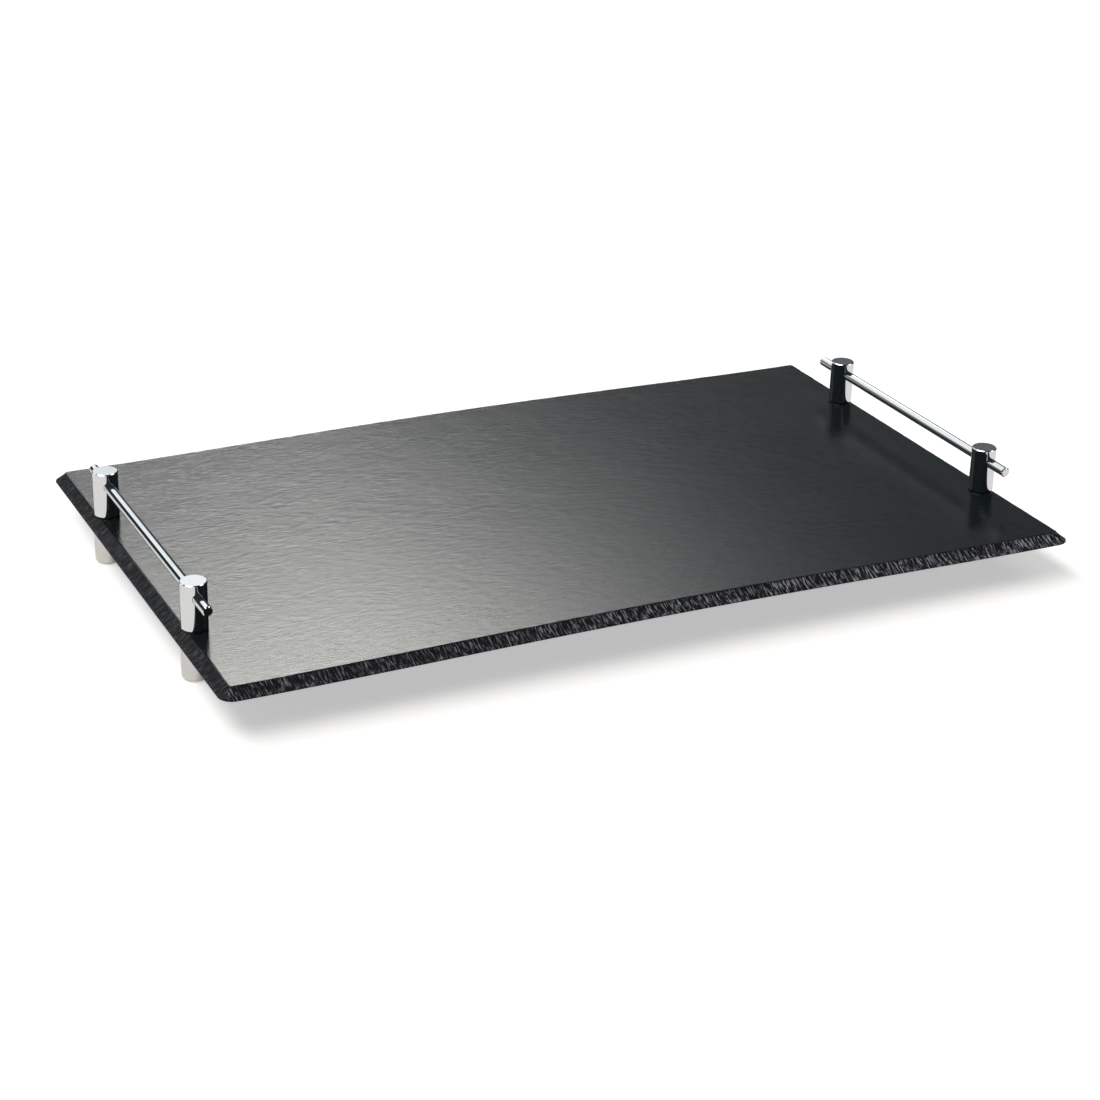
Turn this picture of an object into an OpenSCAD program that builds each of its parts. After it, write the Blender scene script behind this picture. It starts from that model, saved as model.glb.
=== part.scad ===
// Slate look serving tray: a bevelled melamine board on four feet, with a chrome rail handle
// held by two posts along each short end.
// Origin: middle of the footprint, on the surface that the tray stands on.
// +X runs along the board towards the right handle, +Y towards the rear edge, +Z up.

/* [Board] */
// Length of the board at its lower edge
board_l = 530; // [400:1:650]
// Width of the board at its lower edge
board_w = 325; // [250:1:450]
// Thickness of the board
board_t = 6; // [4:0.5:12]
// How far the bevel runs in from the edge
bevel_w = 6; // [2:0.5:10]
// Height of the upright lip below the bevel
lip_h = 1; // [0.4:0.1:2]
// Radius of the top face's corners
top_corner_r = 2; // [1:0.5:20]
// How far the middle of the board rises above its two ends
crown_h = 2.5; // [0.5:0.5:6]
// Flat board left between a post's side and the start of that rise
seat_margin = 2; // [1:0.5:20]

/* [Posts] */
// Diameter of a post
post_d = 15; // [12:0.5:24]
// Height of a post without its gasket
post_h = 27.5; // [24:0.5:60]
// Edge break round a post's two ends
post_chamfer = 0.4; // [0.2:0.1:1]
// From the board's short edge to the post axes
post_edge = 11.5; // [10:0.5:40]
// Between the axes of the two posts of one handle
post_pitch = 166; // [100:1:200]

/* [Rails] */
// Diameter of a rail
rail_d = 6; // [4:0.5:8]
// From a post's top face down to the rail's axis
rail_drop = 8; // [5:0.5:11]
// From a post's axis out to the rail's end
rail_overhang = 24; // [10:0.5:30]
// Edge break round a rail's ends
rail_chamfer = 0.6; // [0.2:0.1:1]

/* [Feet] */
// Diameter of a foot
foot_d = 16.5; // [15:0.5:24]
// Height of a foot without its gasket and pad
foot_h = 22; // [16:0.5:40]
// Edge break round a foot's two ends
foot_chamfer = 0.5; // [0.2:0.1:1]

/* [Foot pads] */
// Diameter of an anti-slip pad
pad_d = 12.2; // [10.5:0.1:13]
// Thickness of a pad
pad_t = 2.5; // [1.5:0.1:4]
// How far a pad stands out below its foot
pad_proud = 1; // [0.5:0.1:1.4]
// Edge break round a pad's lower edge
pad_chamfer = 0.3; // [0.1:0.1:0.5]

/* [Gaskets] */
// Thickness of the gaskets above and below the board
gasket_t = 0.5; // [0.3:0.1:1]
// How far a gasket's rim stays back from the metal's side
gasket_inset = 0.35; // [0.2:0.05:0.8]

/* [Screws] */
// Thread diameter of the foot screws and grub screws
thread_d = 5; // [4:0.5:6]
// Diameter of a foot screw's head
head_d = 8.5; // [7.5:0.1:9]
// Height of a foot screw's head
head_h = 5; // [4:0.5:6]
// Across the flats of the hex socket in a foot screw
head_key = 4; // [3:0.5:4.5]
// Depth of the hex socket in a foot screw
head_key_depth = 2.5; // [1.5:0.1:3]
// Length of a grub screw
grub_l = 6; // [5:0.5:8]
// Across the flats of the hex socket in a grub screw
grub_key = 2.5; // [1.5:0.1:2.5]
// Depth of the hex socket in a grub screw
grub_key_depth = 3; // [1.5:0.1:4]
// Edge break at the screws' tips
tip_chamfer = 0.6; // [0.2:0.1:0.8]

/* [Fits] */
// Radial clearance of a rail in its cross bore
rail_gap = 0.1; // [0.05:0.01:0.2]
// Radial clearance that stands for the thread
thread_gap = 0.05; // [0.02:0.01:0.1]
// Radial clearance of the holes that a foot screw passes through
hole_gap = 0.25; // [0.1:0.05:0.5]
// Radial clearance of a screw head in its counterbore
head_gap = 0.5; // [0.2:0.1:0.6]
// Room between a screw head and the pad below it
head_room = 1; // [0.2:0.1:2]
// Radial clearance of a pad in its recess
pad_gap = 0.1; // [0.05:0.01:0.2]
// Gap between a grub screw's tip and the rail
grub_gap = 0.1; // [0.05:0.01:0.2]
// Gap between a foot screw's tip and the grub screw
tip_gap = 1.9; // [0.5:0.1:3]

/* [Hidden] */
$fn = 96;
// Flat steps in each quarter of the board's corners, and along its rise
corner_steps = 8;
crown_steps = 32;
// Overrun of every cut past the face it opens
cut = 1;

// Colours
slate = [0.17, 0.18, 0.19];
chrome = [0.82, 0.83, 0.85];
zinc = [0.62, 0.64, 0.66];
dark_rubber = [0.1, 0.1, 0.11];

// Which end and which side a corner lies on
front_left = [-1, -1];
front_right = [1, -1];
rear_left = [-1, 1];
rear_right = [1, 1];
corners = [front_left, front_right, rear_left, rear_right];

// Radius of the board's corners at the lower edge, so that the bevel is even all round
corner_r = top_corner_r + bevel_w;

// Levels, from the surface that the tray stands on
foot_z = pad_proud;
foot_gasket_z = foot_z + foot_h;
board_z = foot_gasket_z + gasket_t;
top_z = board_z + board_t;
post_z = top_z + gasket_t;
rail_z = post_z + post_h - rail_drop;

// Places of the post axes, which the feet, screws and holes share
post_x = board_l / 2 - post_edge;
post_y = post_pitch / 2;

// Half of the board's straight sides between its corners, and half of its rise
straight_x = board_l / 2 - corner_r;
straight_y = board_w / 2 - corner_r;
crown_x = post_x - post_d / 2 - seat_margin;

// Bores
thread_bore_r = thread_d / 2 + thread_gap;
through_r = thread_d / 2 + hole_gap;
rail_bore_r = rail_d / 2 + rail_gap;
recess_depth = pad_t - pad_proud;
seat_depth = recess_depth + head_room + head_h;
seat_z = foot_z + seat_depth;

// Screws: a grub screw reaches up to the rail, and a foot screw up to the grub screw
grub_z = rail_z - rail_d / 2 - grub_gap - grub_l;
screw_l = grub_z - tip_gap - seat_z;

rail_l = post_pitch + 2 * rail_overhang;

// Across the corners of a hex socket, as a share of its flats
hex_share = 2 / sqrt(3);

// Half of a turned bar from y0 up to y1, with both edges broken
function bar_outline(r, y0, y1, c0, c1) = [
    [0, y0],
    [r - c0, y0],
    [r, y0 + c0],
    [r, y1 - c1],
    [r - c1, y1],
    [0, y1]
];

// Height of the board's rise at x. It is level at the posts and in the middle
function crown(x) = crown_h * pow(1 - pow(min(abs(x) / crown_x, 1), 2), 2);

// Rear half of the board's outline with corner radius r, from its left end to its right
function half_outline(r) = [
    for (i = [0 : corner_steps])
        let (turn = 90 * i / corner_steps)
        [-straight_x - r * cos(turn), straight_y + r * sin(turn)],
    for (i = [0 : crown_steps])
        [crown_x * (2 * i / crown_steps - 1), straight_y + r],
    for (i = [0 : corner_steps])
        let (turn = 90 - 90 * i / corner_steps)
        [straight_x + r * cos(turn), straight_y + r * sin(turn)]
];

module at_corner(corner) {
    translate([corner[0] * post_x, corner[1] * post_y, 0])
        children();
}

// Board without its holes. Each level of its rim is a height and a corner radius, and each
// point of the rim has its front and its rear place
module board_blank() {
    levels = [[0, corner_r], [lip_h, corner_r], [board_t, top_corner_r]];
    top = len(levels) - 1;
    last = 2 * corner_steps + crown_steps + 2;
    function front(level, i) = 2 * (level * (last + 1) + i);
    function rear(level, i) = front(level, i) + 1;
    polyhedron(
        points = [
            for (level = levels, p = half_outline(level[1]), side = [-1, 1])
                [p[0], side * p[1], level[0] + crown(p[0])]
        ],
        faces = [
            for (i = [0 : last - 1])
                [front(0, i), front(0, i + 1), rear(0, i + 1), rear(0, i)],
            for (i = [0 : last - 1])
                [rear(top, i), rear(top, i + 1), front(top, i + 1), front(top, i)],
            for (k = [0 : top - 1], i = [0 : last - 1])
                [front(k, i), front(k + 1, i), front(k + 1, i + 1), front(k, i + 1)],
            for (k = [0 : top - 1], i = [0 : last - 1])
                [rear(k, i + 1), rear(k + 1, i + 1), rear(k + 1, i), rear(k, i)],
            for (k = [0 : top - 1])
                [rear(k, 0), rear(k + 1, 0), front(k + 1, 0), front(k, 0)],
            for (k = [0 : top - 1])
                [front(k, last), front(k + 1, last), rear(k + 1, last), rear(k, last)]
        ]
    );
}

module board() {
    color(slate)
        translate([0, 0, board_z])
            difference() {
                board_blank();
                for (corner = corners)
                    at_corner(corner)
                        translate([0, 0, -cut])
                            cylinder(r = through_r, h = board_t + 2 * cut);
            }
}

// Post with the cross bore for its rail, and the tapped bore that meets it from below
module post(corner) {
    color(chrome)
        at_corner(corner)
            difference() {
                rotate_extrude()
                    polygon(bar_outline(
                        post_d / 2, post_z, post_z + post_h, post_chamfer, post_chamfer
                    ));
                translate([0, 0, rail_z])
                    rotate([90, 0, 0])
                        cylinder(r = rail_bore_r, h = post_d + 2 * cut, center = true);
                translate([0, 0, post_z - cut])
                    cylinder(r = thread_bore_r, h = rail_z - post_z + cut);
            }
}

// Handle rod that runs through both posts of one end
module rail(side) {
    color(chrome)
        translate([side * post_x, 0, rail_z])
            rotate([90, 0, 0])
                rotate_extrude()
                    polygon(bar_outline(
                        rail_d / 2, -rail_l / 2, rail_l / 2, rail_chamfer, rail_chamfer
                    ));
}

// Foot with a recess for its pad, a counterbore for the screw head and a through hole
module foot(corner) {
    color(chrome)
        at_corner(corner)
            difference() {
                rotate_extrude()
                    polygon(bar_outline(
                        foot_d / 2, foot_z, foot_z + foot_h, foot_chamfer, foot_chamfer
                    ));
                translate([0, 0, foot_z - cut])
                    cylinder(r = pad_d / 2 + pad_gap, h = recess_depth + cut);
                translate([0, 0, foot_z - cut])
                    cylinder(r = head_d / 2 + head_gap, h = seat_depth + cut);
                translate([0, 0, foot_z])
                    cylinder(r = through_r, h = foot_h + cut);
            }
}

module foot_pad(corner) {
    color(dark_rubber)
        at_corner(corner)
            rotate_extrude()
                polygon([
                    [0, 0],
                    [pad_d / 2 - pad_chamfer, 0],
                    [pad_d / 2, pad_chamfer],
                    [pad_d / 2, pad_t],
                    [0, pad_t]
                ]);
}

// Thin washer with its underside at z, a little smaller than the bar of diameter d next to it
module gasket(corner, d, z) {
    color(dark_rubber)
        at_corner(corner)
            translate([0, 0, z])
                difference() {
                    cylinder(r = d / 2 - gasket_inset, h = gasket_t);
                    translate([0, 0, -cut])
                        cylinder(r = through_r, h = gasket_t + 2 * cut);
                }
}

module post_gasket(corner) {
    gasket(corner, post_d, top_z);
}

module foot_gasket(corner) {
    gasket(corner, foot_d, foot_gasket_z);
}

// Socket head cap screw, head down
module foot_screw(corner) {
    color(zinc)
        at_corner(corner)
            translate([0, 0, seat_z])
                difference() {
                    union() {
                        rotate_extrude()
                            polygon(bar_outline(thread_d / 2, -head_h / 2, screw_l, 0, tip_chamfer));
                        rotate_extrude()
                            polygon(bar_outline(head_d / 2, -head_h, 0, tip_chamfer, 0));
                    }
                    translate([0, 0, -head_h - cut])
                        cylinder(d = head_key * hex_share, h = head_key_depth + cut, $fn = 6);
                }
}

// Set screw with its socket facing down the bore
module grub_screw(corner) {
    color(zinc)
        at_corner(corner)
            translate([0, 0, grub_z])
                difference() {
                    rotate_extrude()
                        polygon(bar_outline(thread_d / 2, 0, grub_l, 0, tip_chamfer));
                    translate([0, 0, -cut])
                        cylinder(d = grub_key * hex_share, h = grub_key_depth + cut, $fn = 6);
                }
}

board();
post(front_left);  // front_left_post
post(front_right);  // front_right_post
post(rear_left);  // rear_left_post
post(rear_right);  // rear_right_post
rail(-1);  // left_rail
rail(1);  // right_rail
foot(front_left);  // front_left_foot
foot(front_right);  // front_right_foot
foot(rear_left);  // rear_left_foot
foot(rear_right);  // rear_right_foot
foot_pad(front_left);  // front_left_foot_pad
foot_pad(front_right);  // front_right_foot_pad
foot_pad(rear_left);  // rear_left_foot_pad
foot_pad(rear_right);  // rear_right_foot_pad
post_gasket(front_left);  // front_left_post_gasket
post_gasket(front_right);  // front_right_post_gasket
post_gasket(rear_left);  // rear_left_post_gasket
post_gasket(rear_right);  // rear_right_post_gasket
foot_gasket(front_left);  // front_left_foot_gasket
foot_gasket(front_right);  // front_right_foot_gasket
foot_gasket(rear_left);  // rear_left_foot_gasket
foot_gasket(rear_right);  // rear_right_foot_gasket
foot_screw(front_left);  // front_left_foot_screw
foot_screw(front_right);  // front_right_foot_screw
foot_screw(rear_left);  // rear_left_foot_screw
foot_screw(rear_right);  // rear_right_foot_screw
grub_screw(front_left);  // front_left_grub_screw
grub_screw(front_right);  // front_right_grub_screw
grub_screw(rear_left);  // rear_left_grub_screw
grub_screw(rear_right);  // rear_right_grub_screw
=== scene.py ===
"""Melamine serving tray: a riven slate look board on chrome feet, with a chrome rail along each short end.

The construction is loaded as a fixed frame, in metres. This file gives it its surfaces: the board's riven
top and chipped bevel, the chrome, the ribbed rubber pads and the plated screws. It also gives it the studio
that it stands in.
"""

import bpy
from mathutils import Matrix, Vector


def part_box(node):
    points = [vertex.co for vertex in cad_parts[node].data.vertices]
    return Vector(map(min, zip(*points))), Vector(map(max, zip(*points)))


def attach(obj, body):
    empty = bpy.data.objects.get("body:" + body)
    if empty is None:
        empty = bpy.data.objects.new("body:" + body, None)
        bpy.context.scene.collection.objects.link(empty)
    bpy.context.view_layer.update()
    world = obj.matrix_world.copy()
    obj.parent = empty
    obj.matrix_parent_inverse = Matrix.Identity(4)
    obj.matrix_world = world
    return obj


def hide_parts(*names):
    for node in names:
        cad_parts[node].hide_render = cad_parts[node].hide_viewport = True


bl_info = {
    "name": "Melamine Serving Tray",
    "version": (1, 0, 0),
    "blender": (4, 5, 0),
    "location": "3D View > Sidebar > Tray",
    "description": "Builds the surfaces of a slate look serving tray round its fixed frame",
    "category": "Object",
}

import math

import bpy
from bpy.props import FloatProperty, FloatVectorProperty, IntProperty, PointerProperty
from mathutils import Matrix, Vector

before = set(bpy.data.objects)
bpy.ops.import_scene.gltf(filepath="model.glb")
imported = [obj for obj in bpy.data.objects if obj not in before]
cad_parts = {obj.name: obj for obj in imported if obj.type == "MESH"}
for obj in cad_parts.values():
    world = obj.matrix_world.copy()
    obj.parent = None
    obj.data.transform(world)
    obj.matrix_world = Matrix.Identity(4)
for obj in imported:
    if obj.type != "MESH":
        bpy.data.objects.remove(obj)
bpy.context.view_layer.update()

MM = 0.001
CORNERS = ("front_left", "front_right", "rear_left", "rear_right")
SIDES = ("left", "right")

# What the frame says of the board: its ends are level with the posts' gaskets, and its middle is raised.
BOARD_LOW, BOARD_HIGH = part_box("board")
BOARD_END_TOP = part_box("front_right_post_gasket")[0].z
BOARD_THICK = BOARD_END_TOP - BOARD_LOW.z
BOARD_RISE = BOARD_HIGH.z - BOARD_END_TOP
# The rise ends a little inside the posts, so that they stand on flat seats.
SEAT_MARGIN = 2 * MM
RISE_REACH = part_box("front_right_post")[0].x - SEAT_MARGIN

# The top's patterns: roughly how often each repeats in a metre, and how much it is squeezed along the board
# to draw it out. The waves are in the mesh. Ripples, hairs and pores are in the shading, and clouds and
# streaks in the colour. All but the pores and the clouds wander to the side.
WANDER_SCALE = 30
WANDER_REACH = 18 * MM
WAVE_SCALE = 600
WAVE_SQUEEZE = 0.2
RIPPLE_SCALE = 900
RIPPLE_SQUEEZE = 0.17
HAIR_SCALE = 1700
HAIR_SQUEEZE = 0.12
PORE_SCALE = 2600
CLOUD_SCALE = 9
STREAK_SCALE = 1300
STREAK_SQUEEZE = 0.16
# The ripples' share of their full height at the front left corner, and where they come to all of it.
CALMEST_SHARE = 0.62
CALM_ALONG_Y = (-160 * MM, 100 * MM)
CALM_ALONG_X = (0.0, 160 * MM)

# The bevel's chips in the mesh: scoops, flat facets and roughness, and the share of the depth of each.
SCOOP_SCALE = 120
FACET_SCALE = 330
ROUGH_SCALE = 900
SCOOP_SHARE = 0.4
FACET_SHARE = 0.6
ROUGH_SHARE = 0.3
LEAST_CHIP_SHARE = 0.3
# The bevel's chips and splinters in the shading, how steep its chips are, and the pale strokes in its colour
# with the patches that they lie in. The strokes get more between two places along the board, give or take,
# and this rise is painted light: it stands for the light that falls brighter on the bevel's right end.
CHIP_SCALE = 650
CHIP_TILT = 900
SPLINTER_SCALE = 1500
STROKE_SCALE = 1000
PATCH_SCALE = 260
STRAY_SCALE = 25
STROKES_AND_PAINTED_LIGHT_ALONG_X = (-200 * MM, 200 * MM)

# How high the relief is that a finish's shading stands for. It bends the light and moves no surface.
RIPPLE_RELIEF = 0.065 * MM
SPLINTER_RELIEF = 0.3 * MM
POLISH_RELIEF = 0.0004 * MM
MOULD_RELIEF = 0.02 * MM
PLATING_RELIEF = 0.004 * MM

# Points of the board's mesh and of a pad's mesh that lie this close become one.
MERGE_REACH = 0.01 * MM
PAD_MERGE_REACH = 0.001 * MM

MELAMINE_IOR = 1.6
BEVEL_GLOSS = 0.12
BLOOM_SCALE = 500

# The pad's outline in shares of its rows: the standing face ends, the wall starts and ends, and the upper
# face starts. The ribs fade out just before the standing face ends.
FACE_END_SHARE = 0.7
WALL_START_SHARE = 0.75
WALL_END_SHARE = 0.9
TOP_START_SHARE = 0.94
RIB_FADE_SHARES = (0.69, 0.66)


class Wire:
    """A value that runs through a node tree, so that a rule can be written as plain arithmetic."""

    def __init__(self, tree, socket):
        self.tree = tree
        self.socket = socket

    def through(self, operation, *others, clamp=False):
        """This value and the others, through one Math node."""
        made = self.tree.nodes.new("ShaderNodeMath")
        made.operation = operation
        made.use_clamp = clamp
        for place, value in zip(made.inputs, (self, *others)):
            plug(self.tree, place, value)
        return Wire(self.tree, made.outputs[0])

    def __add__(self, other):
        return self.through("ADD", other)

    def __radd__(self, other):
        return self.through("ADD", other)

    def __sub__(self, other):
        return self.through("SUBTRACT", other)

    def __rsub__(self, other):
        return self.through("MULTIPLY_ADD", -1.0, other)

    def __mul__(self, other):
        return self.through("MULTIPLY", other)

    def __rmul__(self, other):
        return self.through("MULTIPLY", other)

    def __truediv__(self, other):
        return self.through("DIVIDE", other)


def plug(tree, socket, value):
    """Links a wire to a socket, or sets a plain value on it."""
    if isinstance(value, Wire):
        tree.links.new(value.socket, socket)
    elif isinstance(value, bpy.types.NodeSocket):
        tree.links.new(value, socket)
    else:
        socket.default_value = value


def add_node(tree, kind, inputs=None, **settings):
    """A new node with its settings, and a value or a wire for each named or numbered input."""
    made = tree.nodes.new(kind)
    for name, value in settings.items():
        setattr(made, name, value)
    for name, value in (inputs or {}).items():
        plug(tree, made.inputs[name], value)
    return made


def out(node, name=0):
    """One of a node's outputs as a wire."""
    return Wire(node.id_data, node.outputs[name])


def fade(value, start, end, kind="SMOOTHSTEP"):
    """0 where the value is at start, 1 where it is at end, and level beyond both."""
    made = add_node(value.tree, "ShaderNodeMapRange", {"Value": value}, interpolation_type=kind)
    plug(value.tree, made.inputs["From Min"], start)
    plug(value.tree, made.inputs["From Max"], end)
    return out(made)


def between(low, high, share):
    """The value that lies the given share of the way from low to high."""
    return (high - low) * share + low


def follow(value, stops):
    """A value on straight lines between stops of (place, value), and level beyond them."""
    total = stops[0][1]
    for (start, low), (end, high) in zip(stops, stops[1:]):
        total = (high - low) * fade(value, start, end, "LINEAR") + total
    return total


def vector(tree, x, y, z):
    """Three values as one vector."""
    made = tree.nodes.new("ShaderNodeCombineXYZ")
    for place, value in zip(made.inputs, (x, y, z)):
        plug(tree, place, value)
    return out(made)


def parts_of(wire):
    """The three values of a vector."""
    made = add_node(wire.tree, "ShaderNodeSeparateXYZ", {0: wire})
    return out(made, 0), out(made, 1), out(made, 2)


def vector_math(tree, operation, first, second, output="Vector"):
    """Two vectors through one Vector Math node."""
    return out(add_node(tree, "ShaderNodeVectorMath", {0: first, 1: second}, operation=operation), output)


def noise(place, scale, detail=2.0, roughness=0.5, distortion=0.0, seed=0.0):
    """A soft random value from 0 to 1 at a place, with the pattern picked by the seed."""
    made = add_node(place.tree, "ShaderNodeTexNoise", {"Vector": place}, noise_dimensions="4D")
    for name, value in (("W", seed), ("Scale", scale), ("Detail", detail), ("Roughness", roughness),
                        ("Distortion", distortion)):
        plug(place.tree, made.inputs[name], value)
    return out(made, "Fac")


def cells(place, scale, output="Distance", feature="F1", randomness=1.0):
    """A pattern of random cells, as the distance to a cell's middle or its own random colour."""
    made = add_node(place.tree, "ShaderNodeTexVoronoi", {"Vector": place, "Scale": scale}, feature=feature)
    made.inputs["Randomness"].default_value = randomness
    return out(made, output)


def tilted_cells(place, scale, tilt):
    """The height of random flat facets, each one tilted its own way by up to half the given slope."""
    made = add_node(place.tree, "ShaderNodeTexVoronoi", {"Vector": place, "Scale": scale}, feature="F1")
    offset = vector_math(place.tree, "SUBTRACT", place, out(made, "Position"))
    own_tilt = vector_math(place.tree, "SUBTRACT", out(made, "Color"), (0.5, 0.5, 0.5))
    return vector_math(place.tree, "DOT_PRODUCT", offset, own_tilt, "Value") * tilt


def tree_inputs(tree, sockets):
    """Declares a tree's named inputs as (name, kind, default), and returns a wire for each."""
    for name, kind, default in sockets:
        socket = tree.interface.new_socket(name=name, in_out="INPUT", socket_type="NodeSocket" + kind)
        if default is not None:
            socket.default_value = default
    enter = tree.nodes.new("NodeGroupInput")
    return {name: Wire(tree, enter.outputs[name]) for name, kind, default in sockets}


def merged(tree, geometry, reach):
    """A mesh in which points that lie within reach of each other have become one."""
    return out(add_node(tree, "GeometryNodeMergeByDistance", {"Geometry": geometry, "Distance": reach}))


def close_shape(tree, geometry, material, faces=None, faces_material=None):
    """The end of each geometry tree: real meshes with their material, and some faces with another."""
    tree.interface.new_socket(name="Shape", in_out="OUTPUT", socket_type="NodeSocketGeometry")
    real = add_node(tree, "GeometryNodeRealizeInstances", {0: geometry})
    painted = add_node(tree, "GeometryNodeSetMaterial", {"Geometry": out(real), "Material": material})
    if faces:
        painted = add_node(tree, "GeometryNodeSetMaterial", {
            "Geometry": out(painted),
            "Selection": faces,
            "Material": faces_material,
        })
    leave = tree.nodes.new("NodeGroupOutput")
    plug(tree, leave.inputs[0], out(painted))


def grown(name, tree, values):
    """A piece made by a geometry tree with the given input values, as a plain mesh."""
    seedling = bpy.data.objects.new(name + "_grown", bpy.data.meshes.new(name + "_grown"))
    bpy.context.scene.collection.objects.link(seedling)
    modifier = seedling.modifiers.new("Shape", "NODES")
    modifier.node_group = tree
    for item in tree.interface.items_tree:
        if item.in_out == "INPUT" and item.name in values:
            modifier[item.identifier] = values[item.name]
    bpy.context.view_layer.update()
    evaluated = seedling.evaluated_get(bpy.context.evaluated_depsgraph_get())
    mesh = bpy.data.meshes.new_from_object(evaluated)
    mesh.name = name
    bpy.data.objects.remove(seedling)
    if not mesh.polygons:
        raise RuntimeError(name + " came out of its geometry tree empty")
    piece = bpy.data.objects.new(name, mesh)
    bpy.context.scene.collection.objects.link(piece)
    return piece


def stand_for(piece, node):
    """The piece takes a frame node's place, which is hidden, and rides on the root body."""
    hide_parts(node)
    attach(piece, "root")


def dress(node, material):
    """Gives a frame node, whose shape stays, its surface."""
    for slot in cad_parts[node].material_slots:
        slot.material = material


# The board is one sheet of grid lines, counted as rings from its rim: a strip of the underside, the lip, the
# bevel, a few close lines at the top's edge, and then even lines over the top.
LOWER_RING = 1
LIP_START_RING = 2
LIP_RING = 3
EDGE_RING = 10
FINE_RING = 14
# The bevel's patterns count each ring as this much, so that they come out upright and narrow.
RING_STEP = 0.2 * MM


def board_tree():
    """The board's shape: crowned top, bevel with chips, riven ripples, and a plain underside."""
    tree = bpy.data.node_groups.new("Riven board", "GeometryNodeTree")
    given = tree_inputs(tree, (
        ("Length", "Float", 530 * MM),
        ("Width", "Float", 325 * MM),
        ("Thickness", "Float", 6 * MM),
        ("Height", "Float", 23.5 * MM),
        ("Bevel", "Float", 6 * MM),
        ("Lip", "Float", 1 * MM),
        ("Lower corner", "Float", 8 * MM),
        ("Upper corner", "Float", 2 * MM),
        ("Rise", "Float", 2.5 * MM),
        ("Rise reach", "Float", 244 * MM),
        ("Underside strip", "Float", 6 * MM),
        ("Edge break", "Float", 0.3 * MM),
        ("Close lines", "Float", 2.4 * MM),
        ("Ripple depth", "Float", 0.14 * MM),
        ("Chip depth", "Float", 0.6 * MM),
        ("Lines along", "Int", 401),
        ("Lines across", "Int", 215),
        ("Seed", "Float", 3.0),
        ("Material", "Material", None),
        ("Bevel material", "Material", None),
    ))
    half_lines_x = (given["Lines along"] - 1) / 2
    half_lines_y = (given["Lines across"] - 1) / 2
    grid = add_node(tree, "GeometryNodeMeshGrid", {
        "Size X": given["Lines along"] - 1,
        "Size Y": given["Lines across"] - 1,
        "Vertices X": given["Lines along"],
        "Vertices Y": given["Lines across"],
    })
    line_x, line_y = parts_of(out(tree.nodes.new("GeometryNodeInputPosition")))[:2]
    ring_x = half_lines_x - line_x.through("ABSOLUTE")
    ring_y = half_lines_y - line_y.through("ABSOLUTE")
    ring = ring_x.through("MINIMUM", ring_y)

    half_x = given["Length"] / 2
    half_y = given["Width"] / 2
    rim_stops = (
        (0, given["Underside strip"]),
        (LOWER_RING, given["Edge break"]),
        (LIP_START_RING, given["Edge break"] * 0),
        (LIP_RING, given["Edge break"] * 0),
        (EDGE_RING, given["Bevel"]),
        (FINE_RING, given["Bevel"] + given["Close lines"]),
    )
    inset = follow(ring, rim_stops)
    inset_x = follow(ring_x, (*rim_stops, (half_lines_x, half_x)))
    inset_y = follow(ring_y, (*rim_stops, (half_lines_y, half_y)))
    radius = follow(ring, (
        (0, given["Upper corner"]),
        (LOWER_RING, given["Lower corner"]),
        (LIP_RING, given["Lower corner"]),
        (EDGE_RING, given["Upper corner"]),
        (FINE_RING, given["Edge break"]),
    ))
    # A point is so far from its ring's square corner, and near it the ring turns along an arc.
    from_corner = inset_x - inset + inset_y - inset
    turn = (1 - from_corner / radius).through("MAXIMUM", 0.0) * (math.pi / 4)
    along = inset + from_corner.through("MAXIMUM", radius) - radius * turn.through("SINE")
    fall = inset + radius - radius * turn.through("COSINE")
    on_short_side = ring_x.through("LESS_THAN", ring_y)
    inside = ring.through("GREATER_THAN", FINE_RING + 0.5)
    x = (half_x - between(between(along, fall, on_short_side), inset_x, inside)) * line_x.through("SIGN")
    y = (half_y - between(between(fall, along, on_short_side), inset_y, inside)) * line_y.through("SIGN")

    def risen(place):
        """The crown's height over the board's ends at a place along it."""
        share = (place.through("ABSOLUTE") / given["Rise reach"]).through("MINIMUM", 1.0)
        fallen = 1 - share * share
        return fallen * fallen * given["Rise"]

    level = follow(ring, (
        (LOWER_RING, given["Edge break"] * 0),
        (LIP_START_RING, given["Edge break"]),
        (LIP_RING, given["Lip"]),
        (EDGE_RING, given["Thickness"]),
    ))
    z = level + risen(x) + given["Height"]
    ring_kept = add_node(tree, "GeometryNodeStoreNamedAttribute", {
        "Geometry": out(grid, "Mesh"),
        "Name": "ring",
        "Value": ring,
    }, data_type="FLOAT", domain="POINT")
    shaped = add_node(tree, "GeometryNodeSetPosition", {
        "Geometry": out(ring_kept),
        "Position": vector(tree, x, y, z),
    })
    shape = chipped(tree, out(shaped), given)
    shape = rippled(tree, shape, given)
    shape = closed_below(tree, shape, given, risen)
    shape = shaded_by_ring(tree, shape)
    face_ring = kept_ring(tree)
    above_lower_edge = face_ring.through("GREATER_THAN", LOWER_RING + 0.1)
    below_top = face_ring.through("LESS_THAN", EDGE_RING - 0.1)
    close_shape(tree, shape, given["Material"], above_lower_edge * below_top, given["Bevel material"])
    return tree


def along_edge(tree, place, ring, half_x, half_y):
    """A place on the bevel as the distance along its edge, and a much shorter distance across it."""
    x, y = parts_of(place)[:2]
    on_short_side = (half_x - x.through("ABSOLUTE")).through("LESS_THAN", half_y - y.through("ABSOLUTE"))
    across = ring * RING_STEP
    return vector(tree, between(x, y, on_short_side) + across, across, on_short_side)


def kept_ring(tree):
    """Each point's ring number, as the board's mesh keeps it."""
    kept = add_node(tree, "GeometryNodeInputNamedAttribute", {"Name": "ring"}, data_type="FLOAT")
    return out(kept, "Attribute")


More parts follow.
